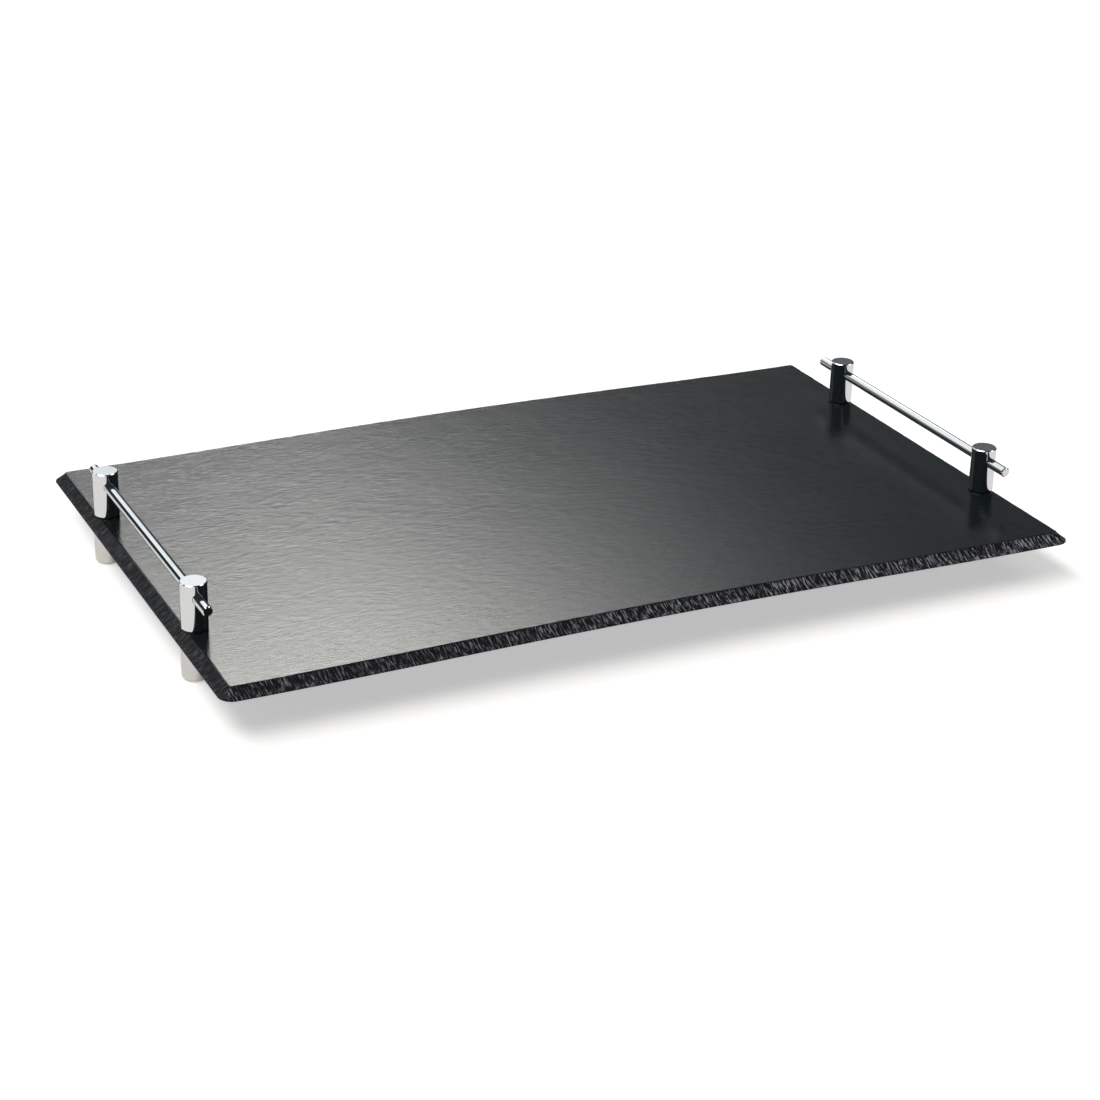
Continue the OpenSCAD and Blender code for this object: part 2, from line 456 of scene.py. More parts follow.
def chipped(tree, shape, given):
    """Chips struck off the bevel: shallow scoops, and narrow upright facets over them."""
    ring = kept_ring(tree)
    on_bevel = fade(ring, LIP_RING - 1, LIP_RING + 2) * fade(ring, EDGE_RING + 1, EDGE_RING - 1)
    place = out(tree.nodes.new("GeometryNodeInputPosition"))
    edge_place = along_edge(tree, place, ring, given["Length"] / 2, given["Width"] / 2)
    scoop = cells(edge_place, SCOOP_SCALE)
    facet = tilted_cells(edge_place, FACET_SCALE, FACET_SCALE)
    rough = noise(place, ROUGH_SCALE, seed=given["Seed"])
    struck = scoop * SCOOP_SHARE + facet * FACET_SHARE + LEAST_CHIP_SHARE + rough * ROUGH_SHARE
    depth = struck * on_bevel * given["Chip depth"]
    inward = add_node(tree, "ShaderNodeVectorMath", {
        0: out(tree.nodes.new("GeometryNodeInputNormal")),
        "Scale": depth * -1,
    }, operation="SCALE")
    return out(add_node(tree, "GeometryNodeSetPosition", {"Geometry": shape, "Offset": out(inward)}))


def calmness(x, y):
    """The share of their full height that the ripples have: they are calmer towards the front left corner."""
    front_to_rear = between(CALMEST_SHARE, 1.0, fade(y, *CALM_ALONG_Y))
    return between(front_to_rear, 1.0, fade(x, *CALM_ALONG_X))


def wandering(tree, x, y, seed=0.0):
    """How far the streaks stray to the side."""
    return noise(vector(tree, x, y, 0.0), WANDER_SCALE, seed=seed) * WANDER_REACH


def rippled(tree, shape, given):
    """The riven top: low ripples that run along the board and wander a little."""
    ring = kept_ring(tree)
    on_top = fade(ring, EDGE_RING - 1, EDGE_RING + 2)
    x, y = parts_of(out(tree.nodes.new("GeometryNodeInputPosition")))[:2]
    wave_place = vector(tree, x * WAVE_SQUEEZE, y + wandering(tree, x, y, given["Seed"]), 0.0)
    wave = noise(wave_place, WAVE_SCALE, 1, 0.5, seed=given["Seed"] + 5)
    drop = wave * calmness(x, y) * on_top * given["Ripple depth"] * -1
    return out(add_node(tree, "GeometryNodeSetPosition", {
        "Geometry": shape,
        "Offset": vector(tree, 0.0, 0.0, drop),
    }))


def closed_below(tree, shape, given, risen):
    """The underside: the rim's strip is drawn in to the middle line, where it meets itself."""
    neighbours = tree.nodes.new("GeometryNodeInputMeshEdgeNeighbors")
    at_rim = out(neighbours).through("LESS_THAN", 1.5)
    drawn = add_node(tree, "GeometryNodeExtrudeMesh", {
        "Mesh": shape,
        "Selection": at_rim,
        "Offset Scale": 0.0,
    }, mode="EDGES")
    x = parts_of(out(tree.nodes.new("GeometryNodeInputPosition")))[0]
    limit = given["Rise reach"]
    centred = x.through("MINIMUM", limit).through("MAXIMUM", limit * -1)
    middle = vector(tree, centred, 0.0, risen(centred) + given["Height"])
    inner = add_node(tree, "GeometryNodeSetPosition", {
        "Geometry": out(drawn, "Mesh"),
        "Selection": out(drawn, "Top"),
        "Position": middle,
    })
    return merged(tree, out(inner), MERGE_REACH)


def shaded_by_ring(tree, shape):
    """The chipped bevel keeps its facets, and the top and the underside are smooth up to a crisp edge."""
    ring = kept_ring(tree)
    facets = fade(ring, LIP_RING - 0.9, LIP_RING - 0.8) * fade(ring, EDGE_RING + 0.1, EDGE_RING)
    smooth = add_node(tree, "GeometryNodeSetShadeSmooth", {
        "Geometry": shape,
        "Shade Smooth": facets.through("LESS_THAN", 0.5),
    }, domain="FACE")
    off_edge = (ring - EDGE_RING).through("ABSOLUTE").through("GREATER_THAN", 0.01)
    return out(add_node(tree, "GeometryNodeSetShadeSmooth", {
        "Geometry": out(smooth),
        "Shade Smooth": off_edge,
    }, domain="EDGE"))


def turned_tree():
    """A moulded pad turned about its upright axis, with ribs on the face that it stands on."""
    tree = bpy.data.node_groups.new("Ribbed pad", "GeometryNodeTree")
    given = tree_inputs(tree, (
        ("Place", "Vector", None),
        ("Radius", "Float", 6.1 * MM),
        ("Height", "Float", 2.5 * MM),
        ("Edge", "Float", 0.3 * MM),
        ("Rib depth", "Float", 0.3 * MM),
        ("Ribs", "Float", 4.0),
        ("Sides", "Int", 96),
        ("Rows", "Int", 61),
        ("Material", "Material", None),
    ))
    grid = add_node(tree, "GeometryNodeMeshGrid", {
        "Size X": 1.0,
        "Size Y": 1.0,
        "Vertices X": given["Sides"] + 1,
        "Vertices Y": given["Rows"],
    })
    turn_share, row_share = parts_of(out(tree.nodes.new("GeometryNodeInputPosition")))[:2]
    turn = (turn_share + 0.5) * (2 * math.pi)
    row = row_share + 0.5
    radius, edge, height = given["Radius"], given["Edge"], given["Height"]
    zero = edge * 0
    # The outline runs from the middle of the standing face, round the wall, to the middle of the upper face.
    across = follow(row, (
        (0.0, zero),
        (FACE_END_SHARE, radius - edge),
        (WALL_START_SHARE, radius),
        (WALL_END_SHARE, radius),
        (TOP_START_SHARE, radius - edge),
        (1.0, zero),
    ))
    up = follow(row, (
        (FACE_END_SHARE, zero),
        (WALL_START_SHARE, edge),
        (WALL_END_SHARE, height - edge),
        (TOP_START_SHARE, height),
    ))
    face_share = (across / (radius - edge)).through("MINIMUM", 1.0)
    wave = (face_share * given["Ribs"] * (2 * math.pi)).through("COSINE") * 0.5 + 0.5
    on_face = fade(row, *RIB_FADE_SHARES)
    up = up + wave * on_face * given["Rib depth"]
    local = vector(tree, across * turn.through("COSINE"), across * turn.through("SINE"), up)
    placed = vector_math(tree, "ADD", local, given["Place"])
    shaped = add_node(tree, "GeometryNodeSetPosition", {
        "Geometry": out(grid, "Mesh"),
        "Position": placed,
    })
    closed = merged(tree, out(shaped), PAD_MERGE_REACH)
    smooth = add_node(tree, "GeometryNodeSetShadeSmooth", {"Geometry": closed})
    close_shape(tree, out(smooth), given["Material"])
    return tree


def new_material(name):
    """An empty material with its Principled shader, and the piece's own coordinates."""
    material = bpy.data.materials.new(name)
    material.use_nodes = True
    tree = material.node_tree
    tree.nodes.clear()
    shader = tree.nodes.new("ShaderNodeBsdfPrincipled")
    leave = tree.nodes.new("ShaderNodeOutputMaterial")
    plug(tree, leave.inputs["Surface"], out(shader))
    coordinates = tree.nodes.new("ShaderNodeTexCoord")
    return material, tree, shader, out(coordinates, "Object")


def mixed(tree, share, first, second):
    """Two colours mixed by a share."""
    made = tree.nodes.new("ShaderNodeMix")
    made.data_type = "RGBA"
    plug(tree, made.inputs["Factor"], share)
    for name, value in (("A", first), ("B", second)):
        socket = [s for s in made.inputs if s.name == name and s.type == "RGBA"][0]
        plug(tree, socket, value)
    return Wire(tree, [s for s in made.outputs if s.type == "RGBA"][0])


def bumped(tree, shader, height, distance, strength=1.0):
    """Feeds a height to the shader's normal."""
    made = add_node(tree, "ShaderNodeBump", {"Height": height, "Distance": distance, "Strength": strength})
    plug(tree, shader.inputs["Normal"], out(made))


def effect(name, inputs, outputs):
    """An empty shader group with named inputs and outputs, made once."""
    tree = bpy.data.node_groups.new(name, "ShaderNodeTree")
    given = tree_inputs(tree, inputs)
    for output, kind in outputs:
        tree.interface.new_socket(name=output, in_out="OUTPUT", socket_type="NodeSocket" + kind)
    leave = tree.nodes.new("NodeGroupOutput")
    return tree, given, leave


def use_effect(tree, group, **values):
    """Places a shader group in a material with its own values."""
    made = tree.nodes.new("ShaderNodeGroup")
    made.node_tree = group
    for name, value in values.items():
        plug(tree, made.inputs[name.replace("_", " ")], value)
    return made


def handling_effect():
    """Polishing lines round a turned piece, and the faint smears that hands and cloths leave."""
    if "Handling marks" in bpy.data.node_groups:
        return bpy.data.node_groups["Handling marks"]
    tree, given, leave = effect("Handling marks", (
        ("Place", "Vector", None),
        ("Line stretch", "Vector", None),
        ("Line scale", "Float", 4000.0),
        ("Smear scale", "Float", 60.0),
        ("Clean roughness", "Float", 0.04),
        ("Smear roughness", "Float", 0.1),
    ), (("Roughness", "Float"), ("Height", "Float"), ("Smear", "Float")))
    stretched = vector_math(tree, "MULTIPLY", given["Place"], given["Line stretch"])
    lines = noise(stretched, given["Line scale"], 2, 0.6)
    smear = fade(noise(given["Place"], given["Smear scale"], 4, 0.6, 0.4), 0.5, 0.75)
    roughness = between(given["Clean roughness"], given["Smear roughness"], smear * 0.7 + lines * 0.3)
    plug(tree, leave.inputs["Roughness"], roughness)
    plug(tree, leave.inputs["Height"], lines)
    plug(tree, leave.inputs["Smear"], smear)
    return tree


def chrome(name, colour, clean, smeared, stretch):
    """Chrome plate on a turned piece, with the lines of its polishing round the axis."""
    material, tree, shader, place = new_material(name)
    marks = use_effect(tree, handling_effect(), Place=place, Line_stretch=stretch, Clean_roughness=clean,
                       Smear_roughness=smeared)
    dull = [channel * 0.9 for channel in colour[:3]] + [1.0]
    plug(tree, shader.inputs["Base Color"], mixed(tree, out(marks, "Smear"), colour, dull))
    plug(tree, shader.inputs["Roughness"], out(marks, "Roughness"))
    shader.inputs["Metallic"].default_value = 1.0
    bumped(tree, shader, out(marks, "Height"), POLISH_RELIEF)
    return material


def melamine(settings):
    """Black melamine with the fine riven grain of its top."""
    material, tree, shader, place = new_material("slate_melamine")
    x, y, z = parts_of(place)
    strayed_y = y + wandering(tree, x, y)
    ripple = noise(vector(tree, x * RIPPLE_SQUEEZE, strayed_y, z * 2), RIPPLE_SCALE, 1, 0.6)
    hair = noise(vector(tree, x * HAIR_SQUEEZE, strayed_y, z), HAIR_SCALE, 1, 0.5)
    pore = noise(place, PORE_SCALE, 2, 0.6)
    cloud = noise(vector(tree, x, y * 1.6, z), CLOUD_SCALE, 3, 0.55)
    streak = noise(vector(tree, x * STREAK_SQUEEZE, strayed_y, z), STREAK_SCALE, 2, 0.5)
    pale = fade(cloud, 0.35, 0.65) * 0.35 + fade(streak, 0.44, 0.56) * 0.65
    plug(tree, shader.inputs["Base Color"], mixed(tree, pale, settings.colour, settings.cloud_colour))
    plug(tree, shader.inputs["Roughness"], settings.roughness + (ripple - 0.5) * 0.08 + (cloud - 0.5) * 0.05)
    shader.inputs["IOR"].default_value = MELAMINE_IOR
    bumped(tree, shader, (ripple + hair * 0.16 + pore * 0.01) * calmness(x, y), RIPPLE_RELIEF)
    return material


def broken_melamine(settings):
    """The chipped bevel: matt black, pale upright strokes where it broke, fewer to the left as painted shade.
    """
    material, tree, shader, place = new_material("broken_melamine")
    ring = out(add_node(tree, "ShaderNodeAttribute", attribute_name="ring"), "Fac")
    size = BOARD_HIGH - BOARD_LOW
    edge_place = along_edge(tree, place, ring, size.x / 2, size.y / 2)
    struck = tilted_cells(edge_place, CHIP_SCALE, CHIP_TILT)
    splinter = noise(edge_place, SPLINTER_SCALE, 3, 0.7)
    # The strokes are fewer and fainter on the short sides. Towards the left end they are fewer and fainter as
    # painted shade, which stands for the light that falls brighter on the bevel's right end.
    x = parts_of(place)[0]
    short_side = parts_of(edge_place)[2]
    stray = (noise(edge_place, STRAY_SCALE, 2, 0.6) - 0.5) * 0.5
    spread_and_painted_light = fade(x + stray, *STROKES_AND_PAINTED_LIGHT_ALONG_X) * (1 - short_side)
    stroke = fade(noise(edge_place, STROKE_SCALE, 3, 0.65), 0.5, 0.59)
    patch = fade(noise(edge_place, PATCH_SCALE, 2, 0.5), 0.42, 0.55)
    fleck_and_painted_light = stroke * between(0.4, 1.0, patch) * between(0.38, 0.85, spread_and_painted_light) * (1 - short_side * 0.6)
    plug(tree, shader.inputs["Base Color"], mixed(tree, fleck_and_painted_light, settings.edge_colour, settings.fleck_colour))
    plug(tree, shader.inputs["Roughness"], between(0.5, 0.38, splinter))
    shader.inputs["Specular IOR Level"].default_value = BEVEL_GLOSS
    bumped(tree, shader, struck + splinter, SPLINTER_RELIEF)
    return material


def grain_effect():
    """The fine even grain of a mould, with specks of dust that stay in it."""
    if "Mould grain" in bpy.data.node_groups:
        return bpy.data.node_groups["Mould grain"]
    tree, given, leave = effect("Mould grain", (
        ("Place", "Vector", None),
        ("Scale", "Float", 3000.0),
        ("Dust", "Float", 0.3),
    ), (("Height", "Float"), ("Dust", "Float")))
    grain = noise(given["Place"], given["Scale"], 2, 0.6)
    specks = fade(noise(given["Place"], given["Scale"] * 0.35, 4, 0.7), 0.58, 0.75) * given["Dust"]
    plug(tree, leave.inputs["Height"], grain)
    plug(tree, leave.inputs["Dust"], specks)
    return tree


def rubber(name, colour, dust):
    """Black rubber, matt, with the grain of its mould."""
    material, tree, shader, place = new_material(name)
    grain = use_effect(tree, grain_effect(), Place=place, Dust=dust)
    plug(tree, shader.inputs["Base Color"], mixed(tree, out(grain, "Dust"), colour, (0.2, 0.19, 0.18, 1)))
    plug(tree, shader.inputs["Roughness"], 0.62 + out(grain, "Height") * 0.2)
    bumped(tree, shader, out(grain, "Height"), MOULD_RELIEF)
    return material


def plated_steel(name, colour):
    """Zinc plated steel: bright with a soft cloudy bloom."""
    material, tree, shader, place = new_material(name)
    marks = use_effect(tree, handling_effect(), Place=place, Line_stretch=(1, 1, 6), Line_scale=1500.0,
                       Smear_scale=400.0, Clean_roughness=0.22, Smear_roughness=0.42)
    bloom = fade(noise(place, BLOOM_SCALE, 3, 0.6), 0.4, 0.7)
    warm = (colour[0] * 0.9, colour[1] * 0.86, colour[2] * 0.74, 1)
    plug(tree, shader.inputs["Base Color"], mixed(tree, bloom, colour, warm))
    plug(tree, shader.inputs["Roughness"], out(marks, "Roughness"))
    shader.inputs["Metallic"].default_value = 1.0
    bumped(tree, shader, out(marks, "Height"), PLATING_RELIEF)
    return material


def length_setting(name, description, default):
    """A length in the sidebar."""
    return FloatProperty(name=name, description=description, default=default, min=0, unit="LENGTH")


def share_setting(name, description, default):
    """A value from 0 to 1 in the sidebar."""
    return FloatProperty(name=name, description=description, default=default, min=0, max=1, subtype="FACTOR")


def colour_setting(name, description, default):
    """A colour in the sidebar."""
    return FloatVectorProperty(name=name, description=description, default=default, min=0, max=1, size=4,
                               subtype="COLOR")


class BoardSettings(bpy.types.PropertyGroup):
    """Sizes and colours of the board that the frame leaves open."""

    ripple_depth: length_setting("Ripple depth", "Depth of the riven ripples on the top", 0.14 * MM)
    chip_depth: length_setting("Chip depth", "Depth of the chips on the bevel", 0.6 * MM)
    bevel: length_setting("Bevel", "Width of the bevel, seen from above", 6 * MM)
    lip: length_setting("Lip", "Height of the upright lip below the bevel", 1 * MM)
    lower_corner: length_setting("Lower corner", "Corner radius at the lower edge", 8 * MM)
    upper_corner: length_setting("Upper corner", "Corner radius at the top's edge", 2 * MM)
    roughness: share_setting("Roughness", "Roughness of the top", 0.18)
    colour: colour_setting("Colour", "Black of the top", (0.0022, 0.003, 0.0034, 1))
    cloud_colour: colour_setting("Cloud colour", "Black of the top's paler clouds",
                                 (0.0072, 0.0092, 0.0098, 1))
    edge_colour: colour_setting("Bevel colour", "Black of the broken bevel", (0.006, 0.0065, 0.008, 1))
    fleck_colour: colour_setting("Fleck colour", "Pale flecks on the broken bevel", (0.5, 0.5, 0.57, 1))


class MetalSettings(bpy.types.PropertyGroup):
    """Colours and roughness of the chrome and the screws."""

    chrome_colour: colour_setting("Chrome", "Colour of the polished chrome", (0.86, 0.865, 0.87, 1))
    foot_colour: colour_setting("Feet", "Colour of the satin chrome on the feet", (0.8, 0.775, 0.745, 1))
    steel_colour: colour_setting("Screws", "Colour of the zinc plated screws", (0.6, 0.61, 0.63, 1))
    polish: share_setting("Polish", "Roughness of the clean polished chrome", 0.03)
    satin: share_setting("Satin", "Roughness of the satin chrome on the feet", 0.16)


class RubberSettings(bpy.types.PropertyGroup):
    """Sizes and colours of the rubber pads and gaskets."""

    rib_depth: length_setting("Rib depth", "Depth of the ribs under the pads", 0.3 * MM)
    ribs: IntProperty(name="Ribs", description="Number of ribs under each pad", default=4, min=0)
    edge: length_setting("Edge", "Width of the pads' edge break", 0.3 * MM)
    pad_colour: colour_setting("Pads", "Colour of the pads", (0.03, 0.03, 0.032, 1))
    gasket_colour: colour_setting("Gaskets", "Colour of the gaskets", (0.02, 0.02, 0.022, 1))


class StageSettings(bpy.types.PropertyGroup):
    """Camera, floor and light."""

    eye: FloatVectorProperty(name="Camera place", description="Where the camera stands", size=3,
                             default=(-0.61577, -1.25888, 0.62679), unit="LENGTH")
    heading: FloatProperty(name="Heading", description="Camera's turn from +Y towards +X",
                           default=0.45405, unit="ROTATION")
    dip: FloatProperty(name="Dip", description="Camera's tilt below the horizon", default=0.4223,
                       unit="ROTATION")
    lean: FloatProperty(name="Lean", description="Camera's roll", default=-0.02517, unit="ROTATION")
    lens: FloatProperty(name="Lens", description="Focal length on a sensor 36 mm wide", default=82.234,
                        unit="CAMERA")
    floor_size: FloatProperty(name="Floor size", description="Side of the floor", default=60, unit="LENGTH")
    panel: FloatProperty(name="Soft panel", description="Brightness of the soft panel behind the tray",
                         default=11.8, min=0)
    ceiling: FloatProperty(name="Soft ceiling", description="Brightness of the soft ceiling on the left",
                           default=5.5, min=0)


class TRAY_OT_board(bpy.types.Operator):
    """Makes the riven board with its chipped bevel"""

    bl_idname = "tray.board"
    bl_label = "Board"

    def execute(self, context):
        settings = context.scene.tray_board
        piece = grown("slate_board", board_tree(), {
            "Length": BOARD_HIGH.x - BOARD_LOW.x,
            "Width": BOARD_HIGH.y - BOARD_LOW.y,
            "Thickness": BOARD_THICK,
            "Height": BOARD_LOW.z,
            "Bevel": settings.bevel,
            "Lip": settings.lip,
            "Lower corner": settings.lower_corner,
            "Upper corner": settings.upper_corner,
            "Rise": BOARD_RISE,
            "Rise reach": RISE_REACH,
            "Ripple depth": settings.ripple_depth,
            "Chip depth": settings.chip_depth,
            "Material": melamine(settings),
            "Bevel material": broken_melamine(settings),
        })
        stand_for(piece, "board")
        return {"FINISHED"}


class TRAY_OT_posts(bpy.types.Operator):
    """Gives the four posts their chrome"""

    bl_idname = "tray.posts"
    bl_label = "Posts"

    def execute(self, context):
        metal = context.scene.tray_metal
        finish = chrome("chrome_post", metal.chrome_colour, metal.polish, metal.polish * 3, (1, 1, 30))
        for corner in CORNERS:
            dress(corner + "_post", finish)
        return {"FINISHED"}


class TRAY_OT_rails(bpy.types.Operator):
    """Gives the two rails their chrome"""

    bl_idname = "tray.rails"
    bl_label = "Rails"

    def execute(self, context):
        metal = context.scene.tray_metal
        finish = chrome("chrome_rail", metal.chrome_colour, metal.polish, metal.polish * 3, (1, 30, 1))
        for side in SIDES:
            dress(side + "_rail", finish)
        return {"FINISHED"}


class TRAY_OT_feet(bpy.types.Operator):
    """Gives the four feet their satin chrome"""

    bl_idname = "tray.feet"
    bl_label = "Feet"

    def execute(self, context):
        metal = context.scene.tray_metal
        finish = chrome("chrome_foot", metal.foot_colour, metal.satin, metal.satin * 1.6, (1, 1, 30))
        for corner in CORNERS:
            dress(corner + "_foot", finish)
        return {"FINISHED"}


class TRAY_OT_pads(bpy.types.Operator):
    """Makes the four ribbed rubber pads that the tray stands on"""

    bl_idname = "tray.pads"
    bl_label = "Pads"

    def execute(self, context):
        settings = context.scene.tray_rubber
        tree = turned_tree()
        finish = rubber("pad_rubber", settings.pad_colour, 0.35)
        for corner in CORNERS:
            low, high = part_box(corner + "_foot_pad")
            piece = grown(corner + "_ribbed_pad", tree, {
                "Place": ((low.x + high.x) / 2, (low.y + high.y) / 2, low.z),
                "Radius": (high.x - low.x) / 2,
                "Height": high.z - low.z,
                "Edge": settings.edge,
                "Rib depth": settings.rib_depth,
                "Ribs": float(settings.ribs),
                "Material": finish,
            })
            stand_for(piece, corner + "_foot_pad")
        return {"FINISHED"}


class TRAY_OT_gaskets(bpy.types.Operator):
    """Gives the gaskets above and below the board their rubber"""

    bl_idname = "tray.gaskets"
    bl_label = "Gaskets"

    def execute(self, context):
        finish = rubber("gasket_rubber", context.scene.tray_rubber.gasket_colour, 0.15)
        for corner in CORNERS:
            dress(corner + "_post_gasket", finish)
            dress(corner + "_foot_gasket", finish)
        return {"FINISHED"}


class TRAY_OT_screws(bpy.types.Operator):
    """Gives the foot screws and the grub screws their plating"""

    bl_idname = "tray.screws"
    bl_label = "Screws"

    def execute(self, context):
        finish = plated_steel("zinc_plated_steel", context.scene.tray_metal.steel_colour)
        for corner in CORNERS:
            dress(corner + "_foot_screw", finish)
            dress(corner + "_grub_screw", finish)
        return {"FINISHED"}


def soft_patch(azimuth, elevation, left, right, low, high, side_blur, end_blur):
    """1 inside a patch of the studio's dome and 0 outside it, with soft edges, all in degrees."""
    from_left = fade(azimuth, left - side_blur, left + side_blur)
    from_right = fade(azimuth, right + side_blur, right - side_blur)
    from_low = fade(elevation, low - end_blur, low + end_blur)
    from_high = fade(elevation, high + end_blur, high - end_blur)
    return from_left * from_right * from_low * from_high


# Places on the studio's dome are in degrees, as azimuth from +Y towards +X and as elevation. A pair says
# where a soft edge starts and ends.
# The backdrop: its level round the dome, and how that rises with the elevation on either side of its turn.
BACKDROP_BY_AZIMUTH = ((14, 1.0), (20, 0.7), (23.5, 0.52), (26.5, 0.43), (29, 0.36), (32.3, 0.23), (37, 0.14),
                       (46, 0.04), (60, 0.0))
RISE_ON_THE_LEFT = ((0, 0.3), (14, 0.42), (20, 0.56), (22.5, 0.96), (24, 1.5), (26, 2.0))
RISE_ON_THE_RIGHT = ((0, 0.3), (14, 0.42), (20, 0.48), (22, 0.77), (23.7, 1.65), (25, 2.4), (26, 2.6))
BACKDROP_TURN = (17, 25)
BACKDROP_LEFT_END = (-58, -50)
BACKDROP_TOP = (52, 44)
BRIGHT_LEFT_END = (-34, -38)
DARK_TOP_SIDE = (18, 26)
DARK_TOP_FOOT = (27, 33)
# Its right end leans: it lies further right the higher it is, and past it little light is left.
RIGHT_END_SLANT = 1.9
RIGHT_END_BACK = 7
RIGHT_END_BLUR = (-4.2, 0.8)
PAST_RIGHT_END = 0.2

# The soft panel: its slanted right edge, its other edges, and the corner that is cut off it.
PANEL_RIGHT = 23
PANEL_SLANT = 0.3
PANEL_SLANTS_FROM = 25
PANEL_BLUR = 10
PANEL_LEFT = (3, 19)
PANEL_FOOT = (25, 29.5)
PANEL_HEAD = (36.5, 29)
PANEL_CUT_SIDE = (19, 27)
PANEL_CUT_FOOT = (30, 34)
CEILING_EDGE = (44, 56)
# These two pairs are shares of the dome's radius: how far behind the tray, and how far to its left.
PANEL_REAR = (0.868, 0.845)
CEILING_SIDE = (-0.05, -0.45)

# Patches of the dome, each as (left, right, low, high, blur at its sides, blur at its ends).
RAIL_FLAG = (-37, -19, -5, 18, 2, 2)
HIGH_FLAG = (-29, -18, 8, 29, 2, 2)
OUTER_FLAG = (-52, -36, -12, 16, 2, 4)
OUTER_FLAG_SHADE = 0.8
FRONT_CARD = (35.7, 37.3, 20.5, 22.1, 0.4, 0.4)
REAR_CARD = (32.1, 33.7, 18.8, 20.4, 0.4, 0.4)
SIDE_LAMP = (92, 122, 38, 54, 8, 6)

WALLS = (0.02, 0.031, 0.036, 1)
BACKDROP = (0.93, 0.975, 1.0, 1)
SIDE_LIGHT = (2.6, 2.5, 2.4, 1)
GREY_CARD = (0.125, 0.135, 0.14, 1)
CLEAR_WHITE = (1, 1, 1, 1)
# How bright the backdrop and the panel are in the mirror image of a mirror image.
SECOND_MIRROR = 0.15

# The floor's colours, and how far behind the tray its mirror image goes dark.
FLOOR_MOTTLE_SCALE = 3
FLOOR_PALE = (0.8, 0.775, 0.745, 1)
FLOOR_PALER = (0.82, 0.8, 0.775, 1)
FLOOR_DARK = (0.02, 0.02, 0.02, 1)
FLOOR_DARKENS = (250 * MM, 550 * MM)
FLOOR_DARKNESS = 0.92
FLOOR_GLOW = 0.5
MIRRORED_GLOW = 0.25
FLOOR_GLOSS = 0.1
FLOOR_ROUGHNESS = 0.9


def backdrop_level(azimuth, elevation):
    """The backdrop: pale behind the tray's left half, and fading to the dark walls on the right."""
    fading = follow(azimuth, BACKDROP_BY_AZIMUTH)
    rising_left = follow(elevation, RISE_ON_THE_LEFT)
    rising_right = follow(elevation, RISE_ON_THE_RIGHT)
    rising = between(rising_left, rising_right, fade(azimuth, *BACKDROP_TURN))
    rising = rising.through("MAXIMUM", fade(azimuth, *BRIGHT_LEFT_END))
    past_end = azimuth - (elevation * RIGHT_END_SLANT - RIGHT_END_BACK)
    level = fading * rising * between(1.0, PAST_RIGHT_END, fade(past_end, *RIGHT_END_BLUR))
    dark_top = fade(azimuth, *DARK_TOP_SIDE) * fade(elevation, *DARK_TOP_FOOT)
    return level * fade(azimuth, *BACKDROP_LEFT_END) * fade(elevation, *BACKDROP_TOP) * (1 - dark_top)


def flag_shade(azimuth, elevation):
    """The dark flags low on the left, which the rails mirror as their black band."""
    shade = soft_patch(azimuth, elevation, *RAIL_FLAG)
    shade = shade.through("MAXIMUM", soft_patch(azimuth, elevation, *HIGH_FLAG))
    return shade.through("MAXIMUM", soft_patch(azimuth, elevation, *OUTER_FLAG) * OUTER_FLAG_SHADE)


def panel_level(azimuth, elevation, y):
    """The bright soft panel high behind the tray, which the board's left half mirrors."""
    edge = PANEL_RIGHT + PANEL_SLANT * (elevation - PANEL_SLANTS_FROM)
    level = fade(azimuth, edge + PANEL_BLUR, edge - PANEL_BLUR) * fade(azimuth, *PANEL_LEFT)
    level = level * fade(elevation, *PANEL_FOOT) * fade(elevation, *PANEL_HEAD) * fade(y, *PANEL_REAR)
    return level * (1 - fade(azimuth, *PANEL_CUT_SIDE) * fade(elevation, *PANEL_CUT_FOOT))


def card_shape(azimuth, elevation):
    """Two small dim cards, which the tops of the right posts mirror as grey."""
    front = soft_patch(azimuth, elevation, *FRONT_CARD)
    return front.through("MAXIMUM", soft_patch(azimuth, elevation, *REAR_CARD))


def studio_light(settings):
    """The studio as a dome with a pale backdrop, a bright soft panel behind the tray and dark flags."""
    world = bpy.data.worlds.new("studio")
    bpy.context.scene.world = world
    world.use_nodes = True
    tree = world.node_tree
    tree.nodes.clear()
    x, y, z = parts_of(out(tree.nodes.new("ShaderNodeTexCoord"), "Generated"))
    degree = 180 / math.pi
    azimuth = x.through("ARCTAN2", y) * degree
    elevation = z.through("ARCSINE") * degree
    path = tree.nodes.new("ShaderNodeLightPath")
    # The chrome that the board mirrors shows the backdrop and the panel only dimly.
    first = between(SECOND_MIRROR, 1.0, out(path, "Glossy Depth").through("LESS_THAN", 1.5))
    backdrop = backdrop_level(azimuth, elevation) * first * (1 - flag_shade(azimuth, elevation))
    panel = panel_level(azimuth, elevation, y) * first
    side_light = soft_patch(azimuth, elevation, *SIDE_LAMP)
    ceiling = fade(elevation, *CEILING_EDGE) * fade(x, *CEILING_SIDE)
    ceiling_colour = (settings.ceiling, settings.ceiling, settings.ceiling, 1)
    panel_colour = (settings.panel, settings.panel * 0.985, settings.panel * 0.935, 1)
    colour = mixed(tree, backdrop, WALLS, BACKDROP)
    colour = mixed(tree, side_light, colour, SIDE_LIGHT)
    colour = mixed(tree, ceiling, colour, ceiling_colour)
    colour = mixed(tree, panel, colour, panel_colour)
    colour = mixed(tree, card_shape(azimuth, elevation), colour, GREY_CARD)
    seen = mixed(tree, out(path, "Is Camera Ray"), colour, CLEAR_WHITE)
    background = add_node(tree, "ShaderNodeBackground", {"Color": seen})
    leave = tree.nodes.new("ShaderNodeOutputWorld")
    plug(tree, leave.inputs["Surface"], out(background))


